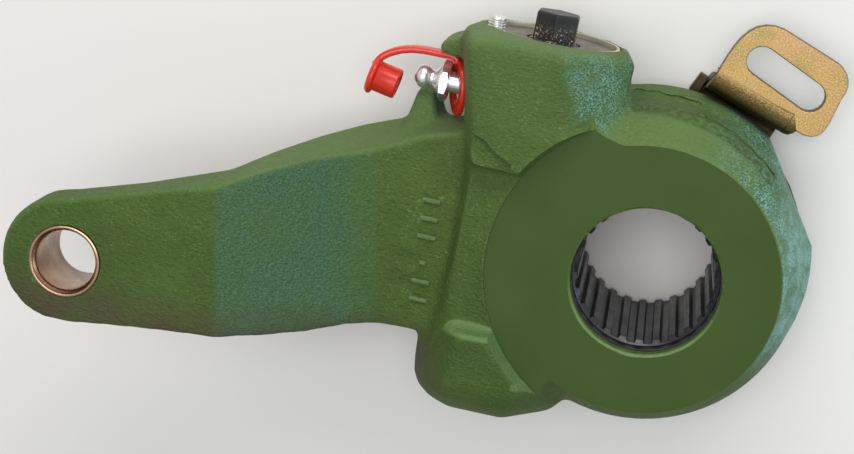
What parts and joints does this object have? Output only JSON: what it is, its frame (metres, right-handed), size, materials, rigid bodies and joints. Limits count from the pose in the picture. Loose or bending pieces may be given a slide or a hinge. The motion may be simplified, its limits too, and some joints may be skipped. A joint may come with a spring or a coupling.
{
  "type": "brake slack adjuster",
  "caption": "Automatic brake slack adjuster: a cast lever with a splined worm wheel in its hub, a worm turned by a hexagon, a control arm and a bushed eye.",
  "frame": {"origin": "on the spline's axis, in the plane that the adjuster lies on with its machined face up", "axes": "+Z along the spline's axis out of the machined face, +Y towards the hexagon's end of the worm, the lever runs towards -X"},
  "size_m": [0.2102, 0.1171, 0.0694],
  "materials": {
    "housing": "green paint over a sand casting",
    "lever_bush": "bronze-lined steel, bright lip",
    "worm_wheel": "black phosphated steel, oiled",
    "front_o_ring": "black rubber",
    "rear_o_ring": "black rubber",
    "worm_screw": "black phosphated steel, greasy",
    "inner_thrust_race": "ground steel, oiled",
    "outer_thrust_race": "ground steel, oiled",
    "thrust_cage": "ground steel, oiled",
    "main_spring": "oiled spring steel",
    "end_cover": "dull zinc with a turned rim",
    "cover_o_ring": "black rubber",
    "worm_seal": "black rubber",
    "lock_screw": "bright zinc",
    "clutch_wheel": "ground steel, oiled",
    "pinion": "ground steel, oiled",
    "clutch_spring": "oiled spring steel",
    "worm_bush": "bronze",
    "rack": "ground steel, oiled",
    "rack_spring": "oiled spring steel",
    "control_disc": "ground steel, oiled",
    "control_arm": "yellow zinc passivated sheet",
    "cover_plate": "zinc plated sheet",
    "cover_gasket": "black gasket",
    "cover_screw_1": "zinc plated",
    "cover_screw_2": "zinc plated",
    "cover_screw_3": "zinc plated",
    "cover_screw_4": "zinc plated",
    "cover_screw_5": "zinc plated",
    "grease_nipple": "bright zinc",
    "nipple_ball": "ground steel, oiled",
    "nipple_spring": "oiled spring steel",
    "nipple_cap": "glossy red moulding"
  },
  "bodies": {
    "casing": {"housing": "housing", "lever_bush": "lever_bush", "end_cover": "end_cover", "cover_o_ring": "cover_o_ring", "worm_seal": "worm_seal", "lock_screw": "lock_screw", "worm_bush": "worm_bush", "main_spring": "main_spring", "outer_thrust_race": "outer_thrust_race", "rack_spring": "rack_spring", "cover_plate": "cover_plate", "cover_gasket": "cover_gasket", "cover_screw_1": "cover_screw_1", "cover_screw_2": "cover_screw_2", "cover_screw_3": "cover_screw_3", "cover_screw_4": "cover_screw_4", "cover_screw_5": "cover_screw_5", "grease_nipple": "grease_nipple", "nipple_spring": "nipple_spring"},
    "wheel": {"worm_wheel": "worm_wheel", "front_o_ring": "front_o_ring", "rear_o_ring": "rear_o_ring"},
    "worm": {"worm_screw": "worm_screw", "inner_thrust_race": "inner_thrust_race", "clutch_wheel": "clutch_wheel"},
    "bearing_cage": {"thrust_cage": "thrust_cage"},
    "control": {"control_arm": "control_arm", "control_disc": "control_disc"},
    "rack_bar": {"rack": "rack"},
    "clutch_drive": {"pinion": "pinion", "clutch_spring": "clutch_spring"},
    "cap": {"nipple_cap": "nipple_cap"},
    "valve_ball": {"nipple_ball": "nipple_ball"}
  },
  "joints": [
    {"name": "wheel_spin", "type": "hinge", "parent": "casing", "child": "wheel", "pos_m": [0, 0, 0.024], "axis": [0, 0, 1], "continuous": true},
    {"name": "worm_spin", "type": "hinge", "parent": "casing", "child": "worm", "pos_m": [-0.0375, 0, 0.024], "axis": [0, 1, 0], "continuous": true},
    {"name": "cage_spin", "type": "hinge", "parent": "casing", "child": "bearing_cage", "pos_m": [-0.0375, 0.019, 0.024], "axis": [0, 1, 0], "continuous": true},
    {"name": "control_arm_swing", "type": "hinge", "parent": "casing", "child": "control", "pos_m": [0, 0, 0.002], "axis": [0, 0, 1], "range_deg": [-10, 10]},
    {"name": "rack_slide", "type": "slide", "parent": "casing", "child": "rack_bar", "axis": [1, 0, 0], "range_m": [-0.005, 0.005], "deforming": ["rack_spring"]},
    {"name": "pinion_spin", "type": "hinge", "parent": "casing", "child": "clutch_drive", "pos_m": [-0.0375, -0.034, 0.024], "axis": [0, 1, 0], "range_deg": [-38, 38]},
    {"name": "cap_swivel", "type": "hinge", "parent": "casing", "child": "cap", "pos_m": [-0.0622, 0.0372, 0.029], "axis": [1, 0, 0], "range_deg": [-25, 25]},
    {"name": "ball_press", "type": "slide", "parent": "casing", "child": "valve_ball", "axis": [1, 0, 0], "range_m": [0, 0.0008], "stiffness_N_per_m": 200, "springref_m": -0.0005, "deforming": ["nipple_spring"]}
  ],
  "couplings": [
    {"joint": "wheel_spin", "follows": "worm_spin", "ratio": 0.038462},
    {"joint": "cage_spin", "follows": "worm_spin", "ratio": 0.5},
    {"joint": "rack_slide", "follows": "control_arm_swing", "m_per_rad": 0.0282},
    {"joint": "pinion_spin", "follows": "control_arm_swing", "ratio": -3.76}
  ]
}
